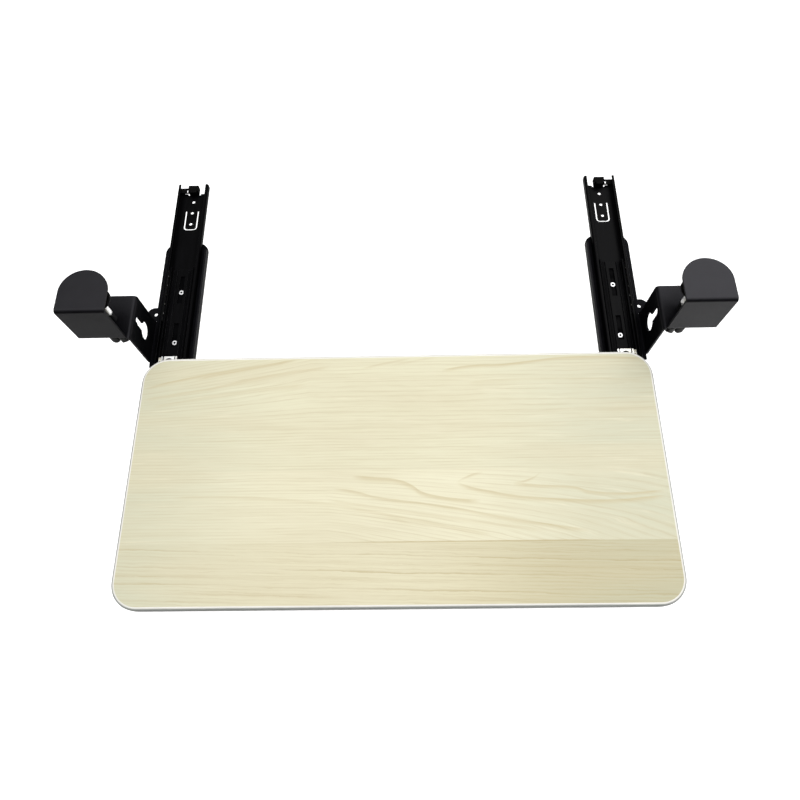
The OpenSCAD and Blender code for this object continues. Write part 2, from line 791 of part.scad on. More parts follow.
for (s = SIDES) on_side(s) {
    clamp_bracket();
    clamp_pad();
    clamp_nut();
    pressure_plate();
    pressure_pad();
    clamp_screw();
    star_knob();
    slide_bracket();
    foot_bolts();
    foot_nuts();
    outer_slide();
    slide_screws();
    slide_nuts();
    slide_bumper();
    outer_ball_cage();
    outer_balls();
    middle_slide();
    inner_ball_cage();
    inner_balls();
    inner_slide();
    rail_end_guide();
    tray_screws();
}
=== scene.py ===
import json
import math

import bmesh
import bpy
from mathutils import Matrix, Vector


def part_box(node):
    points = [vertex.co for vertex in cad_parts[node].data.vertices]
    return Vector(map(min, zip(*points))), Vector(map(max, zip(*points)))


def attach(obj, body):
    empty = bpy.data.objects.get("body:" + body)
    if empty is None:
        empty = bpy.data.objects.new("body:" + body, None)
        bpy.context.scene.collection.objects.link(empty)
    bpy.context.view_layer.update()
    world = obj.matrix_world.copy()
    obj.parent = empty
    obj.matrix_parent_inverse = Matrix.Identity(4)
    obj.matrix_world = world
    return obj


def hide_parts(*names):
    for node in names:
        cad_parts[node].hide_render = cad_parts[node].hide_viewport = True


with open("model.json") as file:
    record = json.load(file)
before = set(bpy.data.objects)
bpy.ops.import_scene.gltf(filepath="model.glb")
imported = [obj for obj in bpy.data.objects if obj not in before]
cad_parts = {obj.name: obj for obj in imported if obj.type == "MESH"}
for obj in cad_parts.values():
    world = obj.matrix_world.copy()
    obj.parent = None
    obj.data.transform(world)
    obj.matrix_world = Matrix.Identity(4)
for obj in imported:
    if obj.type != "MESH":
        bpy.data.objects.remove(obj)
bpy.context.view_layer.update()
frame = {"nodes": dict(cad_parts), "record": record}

nodes = frame["nodes"]
SIDES = ("left", "right")
MM = 0.001


def add_object(name, data):
    obj = bpy.data.objects.new(name, data)
    bpy.context.scene.collection.objects.link(obj)
    return obj


# ------------------------------------------------------------------ node helpers

class Nodes:
    """A node tree under construction. Its helpers take sockets or plain numbers."""

    def __init__(self, tree):
        self.tree = tree

    def add(self, kind, **settings):
        node = self.tree.nodes.new(kind)
        for key, value in settings.items():
            setattr(node, key, value)
        return node

    def feed(self, socket, value):
        """Links the value if it is a socket, and sets it if it is a number or a colour."""
        if isinstance(value, bpy.types.NodeSocket):
            self.tree.links.new(value, socket)
        elif isinstance(value, tuple) and len(value) == 3 and socket.type == "RGBA":
            socket.default_value = (*value, 1)
        else:
            socket.default_value = value

    def math(self, operation, a, b=0.0):
        node = self.add("ShaderNodeMath", operation=operation)
        for socket, value in zip(node.inputs, (a, b)):
            self.feed(socket, value)
        return node.outputs[0]

    def plus(self, a, b):
        return self.math("ADD", a, b)

    def minus(self, a, b):
        return self.math("SUBTRACT", a, b)

    def times(self, a, b):
        return self.math("MULTIPLY", a, b)

    def distance(self, a, b):
        return self.math("ABSOLUTE", self.minus(a, b))

    def mm(self, metres):
        return self.times(metres, 1 / MM)

    def axes(self, vector):
        node = self.add("ShaderNodeSeparateXYZ")
        self.feed(node.inputs[0], vector)
        return node.outputs

    def spread(self, value, lo, hi, to_lo=0.0, to_hi=1.0, smooth=False):
        """Goes from to_lo to to_hi while the value goes from lo to hi, and is level beyond them."""
        node = self.add("ShaderNodeMapRange", clamp=True)
        if smooth:
            node.interpolation_type = "SMOOTHSTEP"
        self.feed(node.inputs["Value"], value)
        for key, v in (("From Min", lo), ("From Max", hi), ("To Min", to_lo), ("To Max", to_hi)):
            node.inputs[key].default_value = v
        return node.outputs["Result"]

    def pick(self, factor, a, b):
        """a where factor is 0, b where it is 1, for plain numbers."""
        node = self.add("ShaderNodeMix", data_type="FLOAT")
        self.feed(node.inputs["Factor"], factor)
        self.feed(node.inputs[2], a)
        self.feed(node.inputs[3], b)
        return node.outputs[0]

    def blend(self, factor, a, b, mode="MIX"):
        """The same for colours."""
        node = self.add("ShaderNodeMix", data_type="RGBA", blend_type=mode)
        self.feed(node.inputs["Factor"], factor)
        self.feed(node.inputs[6], a)
        self.feed(node.inputs[7], b)
        return node.outputs[2]


class Shader(Nodes):
    """A material under construction. Sockets named here keep one value all over the surface."""

    def __init__(self, name, **sockets):
        self.mat = bpy.data.materials.new(name)
        self.mat.use_nodes = True
        super().__init__(self.mat.node_tree)
        self.bsdf = self.tree.nodes["Principled BSDF"]
        self.set(sockets)
        self.coord = self.add("ShaderNodeTexCoord").outputs["Object"]

    def set(self, sockets):
        for key, value in sockets.items():
            self.feed(self.bsdf.inputs[key.replace("_", " ")], value)

    def vector(self, x, y, z):
        node = self.add("ShaderNodeCombineXYZ")
        for socket, value in zip(node.inputs, (x, y, z)):
            self.feed(socket, value)
        return node.outputs[0]

    def stretch(self, x, y, z):
        """Coordinates divided by a grain size along each axis, in millimetres."""
        node = self.add("ShaderNodeMapping", vector_type="POINT")
        self.feed(node.inputs["Vector"], self.coord)
        node.inputs["Scale"].default_value = (1000 / x, 1000 / y, 1000 / z)
        return node.outputs[0]

    def noise_at(self, vector, detail, roughness):
        node = self.add("ShaderNodeTexNoise")
        self.feed(node.inputs["Vector"], vector)
        node.inputs["Scale"].default_value = 1.0
        node.inputs["Detail"].default_value = detail
        node.inputs["Roughness"].default_value = roughness
        return node.outputs["Fac"]

    def noise(self, size, detail=3.0, roughness=0.5):
        """Noise of one grain size, or of one size along each axis, in millimetres."""
        x, y, z = size if isinstance(size, tuple) else (size, size, size)
        return self.noise_at(self.stretch(x, y, z), detail, roughness)

    def patches(self, size, lo, hi, detail=4, roughness=0.7):
        """0 and 1 in patches, with a border where the noise goes from lo to hi."""
        return self.spread(self.noise(size, detail, roughness), lo, hi)

    def curve(self, value, points):
        """A smooth course through points from 0 to 1 both ways."""
        node = self.add("ShaderNodeFloatCurve")
        course = node.mapping.curves[0]
        course.points[0].location = points[0]
        course.points[1].location = points[-1]
        for point in points[1:-1]:
            course.points.new(*point)
        node.mapping.extend = "HORIZONTAL"
        node.mapping.update()
        self.feed(node.inputs["Value"], value)
        return node.outputs["Value"]

    def bevel(self, radius_mm):
        node = self.add("ShaderNodeBevel", samples=4)
        node.inputs["Radius"].default_value = radius_mm * MM
        return node.outputs[0]

    def edges(self, radius_mm):
        """1 on the part's edges, 0 on its flats."""
        dot = self.add("ShaderNodeVectorMath", operation="DOT_PRODUCT")
        self.feed(dot.inputs[0], self.bevel(radius_mm))
        self.feed(dot.inputs[1], self.add("ShaderNodeNewGeometry").outputs["Normal"])
        return self.spread(dot.outputs["Value"], 0.97, 0.80)

    def openness(self, reach_mm, shut, wide, low=0.0):
        """1 on open faces, down to a low value in holes, crevices and under other pieces."""
        node = self.add("ShaderNodeAmbientOcclusion", samples=12)
        node.inputs["Distance"].default_value = reach_mm * MM
        return self.spread(node.outputs["AO"], shut, wide, low, 1.0)

    def bump(self, height, distance_mm, strength=1.0, normal=None):
        node = self.add("ShaderNodeBump")
        node.inputs["Distance"].default_value = distance_mm * MM
        node.inputs["Strength"].default_value = strength
        self.feed(node.inputs["Height"], height)
        if normal is not None:
            self.feed(node.inputs["Normal"], normal)
        return node.outputs[0]

    def finish(self, color, roughness, normal=None, **sockets):
        """The finished material. Sockets named here may vary over the surface."""
        self.set({"Base_Color": color, "Roughness": roughness, **sockets})
        if normal is not None:
            self.feed(self.bsdf.inputs["Normal"], normal)
        return self.mat


# ------------------------------------------------------------------ the board's materials

# The figure is laid out over the board in millimetres: u from its left edge, v from its back edge.
# The print shows three boards side by side. The middle one starts at the first of these v, the
# front one at the second. The ground is palest at this u, where its painted shade is least.
MIDDLE_BOARD, FRONT_BOARD = 156.0, 243.4
PALEST_U = 305.0

# Dark lines of the maple figure. Each has its depth, how softly it fades towards the front, and
# its course in (u, v).
MAPLE_LINES = (
    (0.75, 5.0, ((5, 42), (90, 23), (200, 5))),
    (0.55, 6.0, ((5, 57), (80, 45), (170, 26), (245, 14))),
    (0.75, 4.0, ((70, 31), (130, 18), (195, 7))),
    (0.40, 7.0, ((15, 68), (105, 53), (215, 39))),
    (0.50, 4.0, ((285, 19), (315, 12), (350, 5))),
    (0.35, 4.0, ((325, 14), (385, 3))),
    (0.95, 5.0, ((390, 23), (425, 17), (465, 16), (555, 7), (650, 11))),
    (0.30, 6.0, ((420, 40), (520, 36), (650, 41))),
    (0.90, 7.0, ((277, 162), (305, 165), (330, 168), (350, 176), (360, 183), (385, 190),
                 (430, 194))),
    (0.70, 5.0, ((255, 178), (285, 183), (305, 189), (355, 197), (405, 204), (455, 215),
                 (555, 231))),
    (0.80, 3.5, ((404, 171), (420, 163), (435, 160))),
    (0.90, 6.0, ((404, 172), (420, 178), (440, 183), (470, 189), (505, 193), (580, 196),
                 (650, 191))),
    (0.80, 3.0, ((471, 173), (492, 169), (505, 160))),
    (0.85, 5.0, ((471, 174), (505, 177), (545, 180), (560, 185), (650, 184))),
    (0.40, 5.0, ((270, 200), (375, 221), (440, 235))),
    (0.35, 5.0, ((245, 190), (305, 201), (385, 213), (505, 231))),
    (0.30, 6.0, ((60, 186), (190, 190), (290, 203), (350, 222))),
)


def maple_decor():
    """Printed pale maple in three boards side by side, the grain along X."""
    s = Shader("maple_decor", Specular_IOR_Level=0.45)
    low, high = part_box("tray_edge_band")
    width, depth = (high.x - low.x) / MM, (high.y - low.y) / MM
    x, y, _ = s.axes(s.coord)
    u = s.mm(s.minus(x, low.x))
    v = s.mm(s.minus(high.y, y))
    in_back = s.math("LESS_THAN", v, MIDDLE_BOARD)
    in_front = s.math("GREATER_THAN", v, FRONT_BOARD)

    def per_board(back, middle, front, choose):
        return choose(in_front, choose(in_back, middle, back), front)

    # The grain: level lines that wander, bent in its own way in each board
    wander = s.minus(s.noise((120, 20, 90), 2), 0.5)
    ripple = s.minus(s.noise((26, 4, 40), 3), 0.5)
    level = s.plus(v, s.plus(s.times(wander, 4.0), s.times(ripple, 1.0)))
    # Back board: it rises to the right at the back left, and is straight further on
    climb = s.times(s.math("MINIMUM", u, 220.0), s.spread(v, 0, 120, 0.17, 0.0, smooth=True))
    # Middle board: it fans out and falls to the right from the board's left part on
    fan = s.times(s.minus(u, 250.0), s.spread(v, 158, 243, 0.04, 0.17))
    # Front board: it falls gently to the right
    fall = s.times(u, 0.030)
    grain = per_board(s.plus(level, climb),
                      s.minus(level, s.math("MAXIMUM", fan, 0.0)),
                      s.minus(s.plus(level, s.times(ripple, 3.0)), fall), s.pick)

    def streaks(width_mm, length_mm, detail):
        along, across = s.times(u, 1 / length_mm), s.times(grain, 1 / width_mm)
        return s.noise_at(s.vector(along, across, 3.1), detail, 0.6)

    def line(strength, soft, points):
        """One dark line: sharp at its back, soft towards the front, faint at its two ends."""
        shares = [(a / width, b / depth) for a, b in points]
        course = s.times(s.curve(s.times(u, 1 / width), shares), depth)
        across = s.minus(level, course)
        core = 0.4
        profile = s.times(s.spread(across, -0.7, core),
                          s.spread(across, core, 1.1 * soft, 1, 0, smooth=True))
        first, last = points[0][0], points[-1][0]
        run_out = s.times(s.spread(u, first - 1, first + 14),
                          s.spread(u, last - 14, last + 1, 1, 0))
        return s.times(s.times(profile, run_out), strength)

    figure = 0.0
    for strength, soft, points in MAPLE_LINES:
        figure = s.math("MAXIMUM", figure, line(strength, soft, points))

    # Growth rings: wide apart in the back and middle boards, close and even in the front one
    spacing = s.pick(in_front, 13.0, 9.6)
    rings = s.math("POWER", s.math("FRACT", s.math("DIVIDE", grain, spacing)), 5.0)
    here_and_there = s.patches((190, 15, 60), 0.36, 0.62, 2, 0.5)
    rings = s.times(rings, s.times(here_and_there, s.pick(in_front, 0.30, 1.0)))
    threads = s.math("POWER", s.math("PINGPONG", s.math("DIVIDE", grain, 1.9), 1.0), 4.0)
    threads = s.times(threads, s.spread(streaks(5, 60, 2), 0.30, 0.62))

    # The joint between the middle and the front board shows as one thin line
    seam = s.times(s.spread(s.distance(v, FRONT_BOARD), 0.3, 1.1, 1, 0),
                   s.times(s.spread(u, 220, 330), s.spread(u, 545, 575, 1, 0)))

    # The ground: each board has its tone, with painted shade darker and greener to the left and
    # right
    pale = per_board((0.695, 0.665, 0.480), (0.735, 0.700, 0.512), (0.680, 0.635, 0.447), s.blend)
    ends = s.times(s.spread(s.distance(u, PALEST_U), 90, 330, smooth=True), 0.9)
    pale = s.blend(ends, pale, (0.563, 0.562, 0.418))
    broad = s.noise((240, 45, 90), 2)
    pale = s.blend(s.spread(broad, 0.38, 0.66, 0, 0.6), pale, (0.640, 0.590, 0.415))

    # What lies over the ground: light streaks, then the figure, then all the dark lines
    light = s.times(s.spread(streaks(2.6, 70, 3), 0.56, 0.76), s.pick(in_front, 0.35, 0.12))
    fine = s.spread(streaks(1.7, 110, 4), 0.42, 0.70)
    hair = s.spread(streaks(0.6, 34, 2), 0.52, 0.80)
    shade = 0.0
    for mark, depth_of in ((figure, 0.26), (seam, 0.65), (rings, 0.55), (threads, 0.34),
                           (fine, 0.14), (hair, 0.16)):
        shade = s.plus(shade, s.times(mark, depth_of))
    color = s.blend(light, pale, (0.800, 0.760, 0.590))
    color = s.blend(s.times(figure, 0.50), color, (0.570, 0.480, 0.270))
    color = s.blend(s.math("MINIMUM", shade, 1.0), color, (0.460, 0.375, 0.195))
    # Painted shade: the front board is darker at its right
    front_right = s.times(in_front, s.spread(u, 300, 560, smooth=True))
    color = s.blend(front_right, color, (0.85, 0.82, 0.74), "MULTIPLY")

    pores = s.noise((9, 0.45, 4), 3, 0.6)
    rough = s.plus(s.spread(pores, 0.3, 0.7, 0.40, 0.50), s.times(rings, 0.05))
    return s.finish(color, rough, s.bump(s.plus(pores, s.times(figure, -0.6)), 0.03, 0.5))


def chipboard():
    """Pressed chips of wood with dust between them."""
    s = Shader("chipboard", Specular_IOR_Level=0.3)
    chips = s.add("ShaderNodeTexVoronoi")
    s.feed(chips.inputs["Vector"], s.stretch(2.6, 1.5, 0.7))
    chips.inputs["Scale"].default_value = 1.0
    tone = s.axes(chips.outputs["Color"])[0]
    dust = s.noise((0.6, 0.6, 0.4), 4)
    color = s.blend(tone, (0.62, 0.47, 0.29), (0.42, 0.29, 0.16))
    color = s.blend(s.spread(dust, 0.45, 0.7), color, (0.72, 0.60, 0.42))
    rough = s.spread(dust, 0.3, 0.7, 0.75, 0.92)
    return s.finish(color, rough, s.bump(s.plus(tone, dust), 0.12))


def edge_band():
    """Plastic band, off-white on its top rim and at the back, with painted shade grey down its
    front and its sides.
    """
    s = Shader("edge_band", Specular_IOR_Level=0.5)
    haze = s.noise((60, 60, 9), 3)
    grain = s.noise((1.4, 1.4, 0.5), 3)
    scuff = s.times(s.patches((9, 9, 1.4), 0.62, 0.74), 0.5)
    color = s.blend(s.spread(haze, 0.35, 0.65), (0.80, 0.785, 0.725), (0.75, 0.74, 0.69))
    color = s.blend(scuff, color, (0.68, 0.67, 0.63))
    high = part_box("tray_edge_band")[1]
    _, y, z = s.axes(s.coord)
    down = s.plus(s.mm(s.minus(high.z, z)), s.times(s.minus(haze, 0.5), 0.3))
    fore = s.spread(s.mm(s.minus(high.y, y)), 10, 35)
    # Painted shade: grey below the top rim, on the front and the sides, away from the back
    color = s.blend(s.times(s.spread(down, 0.15, 0.65), fore), color, (0.40, 0.41, 0.385))
    rough = s.plus(s.spread(grain, 0.3, 0.7, 0.27, 0.37), s.times(scuff, 0.2))
    return s.finish(color, rough, s.bump(grain, 0.02, 0.4))


# ------------------------------------------------------------------ the metalwork's materials

def powder_coat(name, sheen):
    """Fine-textured black paint, worn at its edges, with less sheen where other pieces shade it."""
    s = Shader(name, Specular_Tint=(0.93, 0.91, 1.0))
    peel = s.noise(0.75, 3, 0.6)
    patch = s.noise(24, 4)
    wear = s.times(s.edges(0.7), s.patches(5, 0.42, 0.68))
    color = s.blend(s.spread(patch, 0.3, 0.7), (0.0030, 0.0030, 0.0038), (0.0055, 0.0055, 0.0066))
    color = s.blend(s.spread(peel, 0.55, 0.8), color, (0.0095, 0.0095, 0.0110))
    color = s.blend(s.times(wear, 0.7), color, (0.030, 0.030, 0.033))
    rough = s.plus(s.spread(peel, 0.3, 0.7, 0.36, 0.48), s.times(wear, -0.10))
    return s.finish(color, rough, s.bump(peel, 0.05, 0.7, s.bevel(0.45)),
                    Specular_IOR_Level=s.times(s.openness(90, 0.62, 0.98, 0.10), sheen))


# Grooves along the middle members, dulled by grease and painted shade: distance off the slide's
# centre line, half width of the dulling and where it ends, in millimetres
DULLED_GROOVES = ((7.9, 0.7, 1.2), (13.0, 0.8, 1.4))


def black_rail(name, grooved=False):
    """Satin black steel, its sheen dulled by dark grease and by painted shade.

    On the middle members the dulling lies in the grooves and along the sides, on the outer members
    on the floor under the middle members. Painted shade also dulls it in holes and crevices and all
    over the left slide, and a painted highlight runs along its edges.
    """
    s = Shader(name)
    drawn = s.noise((0.35, 70, 0.35), 3, 0.6)
    smear = s.noise((5, 45, 5), 4, 0.6)
    pits = s.noise((1.1, 1.6, 1.1), 3)
    scratch = s.patches((0.5, 160, 0.8), 0.66, 0.74, 2, 0.5)
    worn_and_lit_edges = s.edges(0.5)
    wear = s.times(worn_and_lit_edges, s.patches((3, 12, 3), 0.40, 0.66))

    low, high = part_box("right_middle_slide")
    x, y, _ = s.axes(s.coord)
    off = s.mm(s.distance(s.math("ABSOLUTE", x), (low.x + high.x) / 2))
    off = s.plus(off, s.times(s.minus(smear, 0.5), 0.8))
    # Grease and painted shade dull the sheen: on the middle members in the grooves and along the
    # sides, on the outer members on the floor under the middle members
    if grooved:
        grease_and_shade = s.times(s.spread(off, 8.5, 10.0), 0.60)
        for middle, full, none in DULLED_GROOVES:
            groove = s.spread(s.distance(off, middle), full, none, 1, 0)
            grease_and_shade = s.math("MAXIMUM", groove, grease_and_shade)
    else:
        behind = s.mm(s.minus(y, high.y))
        under = s.times(s.spread(behind, -3, 1, 1, 0), s.spread(off, 10, 12, 1, 0))
        grease_and_shade = s.times(under, s.spread(s.noise((20, 12, 20), 2), 0.40, 0.60, 0.55, 1.0))
    # Painted shade: less sheen in holes and crevices
    clean_and_lit = s.times(s.openness(12, 0.45, 0.90, 0.06), s.spread(grease_and_shade, 0.0, 1.0, 1.0, 0.06))
    # Painted shade: the left slide has less sheen than the right one
    clean_and_lit = s.times(clean_and_lit, s.spread(x, -0.1, 0.1, 0.36, 0.82))

    color = s.blend(s.spread(smear, 0.3, 0.7), (0.0010, 0.0010, 0.0012), (0.0028, 0.0028, 0.0033))
    color = s.blend(s.times(scratch, 0.5), color, (0.020, 0.020, 0.022))
    color = s.blend(s.times(wear, 0.8), color, (0.030, 0.030, 0.032))
    rough = s.plus(s.spread(smear, 0.3, 0.7, 0.24, 0.42), s.times(drawn, 0.06))
    height = s.plus(s.times(drawn, 0.6), s.times(pits, 0.5))
    # Painted highlight: more sheen along all the edges, besides the worn colour
    return s.finish(color, rough, s.bump(height, 0.03, 0.6, s.bevel(0.3)),
                    Specular_IOR_Level=s.plus(s.times(clean_and_lit, 0.048), s.times(worn_and_lit_edges, 0.10)))


def zinc(name, along, tint=(0.60, 0.61, 0.63), grain=0.3):
    """Zinc plate, brushed or drawn along one axis, with painted shade black in its crevices."""
    s = Shader(name, Metallic=1.0)
    brushed = [grain, grain, grain]
    brushed[along] = 40 * grain / 0.3
    lines = s.noise(tuple(brushed), 3, 0.6)
    cloud = s.noise(13, 4, 0.6)
    stain = s.patches(6, 0.56, 0.72)
    wear = s.times(s.edges(0.35), 0.6)
    yellow = (tint[0] * 0.98, tint[1] * 0.93, tint[2] * 0.80)
    color = s.blend(s.spread(cloud, 0.38, 0.66), tint, yellow)
    color = s.blend(s.times(stain, 0.45), color, tuple(t * 0.55 for t in tint))
    color = s.blend(wear, color, (0.82, 0.82, 0.83))
    # Painted shade: black in crevices and holes
    color = s.blend(s.openness(2.5, 0.60, 0.92), (0.012, 0.012, 0.012), color)
    rough = s.plus(s.spread(lines, 0.3, 0.7, 0.24, 0.38), s.times(stain, 0.18))
    return s.finish(color, rough, s.bump(lines, 0.015, 0.6, s.bevel(0.25)))


def cage_steel():
    """Stamped steel, dark with grease, bright at its edges."""
    s = Shader("cage_steel", Specular_IOR_Level=0.35)
    stamp = s.noise((0.8, 6, 0.8), 3)
    grease_and_shade = s.patches((4, 12, 3), 0.45, 0.68)
    wear = s.times(s.edges(0.2), 0.6)
    color = s.blend(grease_and_shade, (0.022, 0.022, 0.023), (0.010, 0.009, 0.008))
    color = s.blend(wear, color, (0.09, 0.09, 0.09))
    return s.finish(color, s.pick(grease_and_shade, 0.45, 0.22), s.bump(stamp, 0.02, 0.5, s.bevel(0.15)))


def ball_steel():
    """Polished steel under a film of dark grease, with painted shade taking it most of the way to
    black.
    """
    s = Shader("ball_steel", Metallic=1.0)
    film = s.noise(1.6, 3)
    grease_and_shade = s.patches((3, 9, 3), 0.35, 0.6, 3, 0.6)
    color = s.blend(s.spread(film, 0.35, 0.65), (0.34, 0.34, 0.35), (0.26, 0.25, 0.23))
    # Grease in patches and painted shade all over darken the balls towards black
    color = s.blend(s.plus(s.times(grease_and_shade, 0.3), 0.7), color, (0.012, 0.011, 0.010))
    return s.finish(color, s.spread(film, 0.3, 0.7, 0.24, 0.40), s.bump(film, 0.004, 0.4))


# Radius of the painted shade in the middle of each screw's socket
SOCKET_RADIUS_MM = 1.5


def screw_heads():
    """Bright zinc heads with painted shade, black and dull, in the middle of their sockets."""
    s = Shader("screw_heads")
    low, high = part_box("right_slide_screws")
    radius = (high.x - low.x) / 2
    x, y, _ = s.axes(s.coord)
    across = s.minus(s.math("ABSOLUTE", x), (low.x + high.x) / 2)
    along = s.math("MINIMUM", s.distance(y, low.y + radius), s.distance(y, high.y - radius))
    off = s.mm(s.math("SQRT", s.plus(s.times(across, across), s.times(along, along))))
    lines = s.noise(0.4, 3)
    off = s.plus(off, s.times(s.minus(lines, 0.5), 0.3))
    # Painted shade: a black, dull disc in the middle of each socket
    socket = s.spread(off, SOCKET_RADIUS_MM, SOCKET_RADIUS_MM + 0.3, 1, 0)
    color = s.blend(lines, (0.62, 0.62, 0.63), (0.48, 0.48, 0.48))
    color = s.blend(socket, color, (0.004, 0.004, 0.004))
    rough = s.spread(lines, 0.3, 0.7, 0.26, 0.38)
    return s.finish(color, rough, s.bump(lines, 0.015, 0.5, s.bevel(0.2)),
                    Metallic=s.minus(1.0, socket),
                    Specular_IOR_Level=s.spread(socket, 0, 1, 0.5, 0.03))


# Height over the clamp nut where the thread's painted shade starts to thin out, and where it ends
SHADE_TOP_MM = (17, 21)


def shaded_thread():
    """Bright zinc above, black painted shade around the nut."""
    s = Shader("shaded_thread", Specular_IOR_Level=0.05)
    z = s.axes(s.coord)[2]
    nut_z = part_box("left_clamp_nut")[1].z
    smear = s.minus(s.noise(3, 3), 0.5)
    height = s.plus(s.mm(s.minus(z, nut_z)), s.times(smear, 9.0))
    # Painted shade: black and dull on the thread near the nut
    grease_and_shade = s.spread(height, *SHADE_TOP_MM, 1, 0)
    lines = s.noise(0.3, 3)
    color = s.blend(lines, (1.00, 1.00, 1.00), (0.88, 0.88, 0.87))
    color = s.blend(grease_and_shade, color, (0.010, 0.010, 0.011))
    return s.finish(color, s.pick(grease_and_shade, 0.40, 0.35), s.bump(lines, 0.015, 0.5),
                    Metallic=s.minus(1.0, grease_and_shade))


# ------------------------------------------------------------------ rubber and plastics

def pad_rubber():
    """Dusty black rubber with fine slanting ribs."""
    s = Shader("pad_rubber", Specular_IOR_Level=0.05)
    x, y, _ = s.axes(s.coord)
    rib_pitch = 2.2 * MM
    ribs = s.math("SINE", s.times(s.plus(x, y), 2 * math.pi / rib_pitch))
    dust = s.noise(3.5, 5, 0.7)
    grit = s.noise(0.4, 2)
    color = s.blend(s.spread(dust, 0.45, 0.75), (0.0020, 0.0020, 0.0020), (0.0075, 0.0072, 0.0068))
    height = s.plus(s.times(ribs, 0.5), s.times(grit, 0.3))
    return s.finish(color, s.spread(dust, 0.3, 0.7, 0.70, 0.88), s.bump(height, 0.12, 0.8))


def knob_plastic():
    """Moulded black plastic with a fine spark texture, polished by hands at its edges."""
    s = Shader("knob_plastic", Specular_IOR_Level=0.30)
    spark = s.noise(0.5, 3, 0.6)
    flow = s.noise((14, 14, 5), 4)
    wear = s.times(s.edges(0.8), s.patches(4, 0.45, 0.7))
    color = s.blend(s.spread(flow, 0.35, 0.65), (0.0040, 0.0040, 0.0046), (0.0085, 0.0085, 0.0095))
    color = s.blend(wear, color, (0.030, 0.030, 0.031))
    rough = s.plus(s.spread(spark, 0.3, 0.7, 0.38, 0.52), s.times(wear, -0.08))
    return s.finish(color, rough, s.bump(spark, 0.03, 0.6, s.bevel(0.4)))


def white_nylon():
    """Whitish nylon with smears of grease."""
    s = Shader("white_nylon", Specular_IOR_Level=0.5, Subsurface_Weight=0.15,
               Subsurface_Radius=(0.002, 0.0018, 0.0014))
    cloud = s.noise((4, 7, 3), 4)
    grease_and_shade = s.patches((3, 14, 2), 0.58, 0.72)
    color = s.blend(s.spread(cloud, 0.35, 0.65), (0.80, 0.78, 0.70), (0.72, 0.69, 0.59))
    color = s.blend(s.times(grease_and_shade, 0.5), color, (0.42, 0.40, 0.34))
    rough = s.spread(cloud, 0.3, 0.7, 0.36, 0.50)
    return s.finish(color, rough, s.bump(cloud, 0.04, 0.5, s.bevel(0.3)))


# ------------------------------------------------------------------ painting the CAD nodes

MATERIALS = {
    "maple_decor": maple_decor(),
    "chipboard": chipboard(),
    "edge_band": edge_band(),
    "powder_coat": powder_coat("powder_coat", sheen=0.25),
    # A copy of the powder coat with little sheen, as painted shade
    "shaded_powder_coat": powder_coat("shaded_powder_coat", sheen=0.06),
    "black_rail": black_rail("black_rail"),
    "grooved_rail": black_rail("grooved_rail", grooved=True),
    "zinc_rail": zinc("zinc_rail", along=1, tint=(0.66, 0.67, 0.68)),
    "zinc_plate": zinc("zinc_plate", along=2, grain=0.2),
    "cage_steel": cage_steel(),
    "ball_steel": ball_steel(),
    "pad_rubber": pad_rubber(),
    "knob_plastic": knob_plastic(),
    "white_nylon": white_nylon(),
    "shaded_thread": shaded_thread(),
    "screw_heads": screw_heads(),
}

# Nodes that have a finish of their own. The others have the finish of their material slot.
# Painted shade: the slide brackets and the clamp nuts get the copy of the powder coat with little
# sheen
FINISHES = {"slide_bracket": "shaded_powder_coat", "clamp_nut": "shaded_powder_coat",
            "middle_slide": "grooved_rail", "slide_screws": "screw_heads"}


def paint(obj, finish):
    obj.data.materials.clear()
    obj.data.materials.append(MATERIALS[finish])


for part in frame["record"]["subparts"]:
    kind = part["node"].partition("_")[2]
    paint(nodes[part["node"]], FINISHES.get(kind, part["material_slot"]))


# ------------------------------------------------------------------ clamp screws

THREAD_PITCH = 1.5 * MM
THREAD_DEPTH = 0.92 * MM
# Half the crest's width and the flank's, as shares of half a pitch
CREST, FLANK = 0.14, 0.68
# Points around the screw, and rings of points to one pitch
AROUND, PER_PITCH = 36, 8
# The neck starts this far under the pressure plate, and the swivel tip above it is this high
SWIVEL_PLAY = 0.2 * MM
SWIVEL_TIP = 4.6 * MM
TIP_BEVEL = 1.0 * MM
# Radii of the neck and of the bevelled tip's end, as shares of the thread's own
NECK, TIP_END = 0.7, 0.8


def thread_radius(turn, major):
    """Radius of a trapezoid thread at a place along one pitch, from 0 to 1."""
    rise = abs(2 * (turn % 1) - 1)
    return major - THREAD_DEPTH * min(1, max(0, (rise - CREST) / FLANK))


def thread_rings(low, high, neck_z):
    """Height and radii of each ring of points up the screw: its thread, its neck and its tip."""
    major = (high.x - low.x) / 2
    tip_z = high.z - SWIVEL_TIP
    steps = round((neck_z - low.z) / THREAD_PITCH * PER_PITCH)
    rings = []
    for k in range(steps + 1):
        z = low.z + (neck_z - low.z) * k / steps
        lead_in = min(1, (z - low.z) / THREAD_PITCH + 0.4)
        rings.append((z, [lead_in * thread_radius((z - low.z) / THREAD_PITCH - j / AROUND, major)
                          for j in range(AROUND)]))
    for z, share in ((neck_z, NECK), (tip_z, NECK), (tip_z, 1.0), (high.z - TIP_BEVEL, 1.0),
                     (high.z, TIP_END)):
        rings.append((z, [share * major] * AROUND))
    return rings


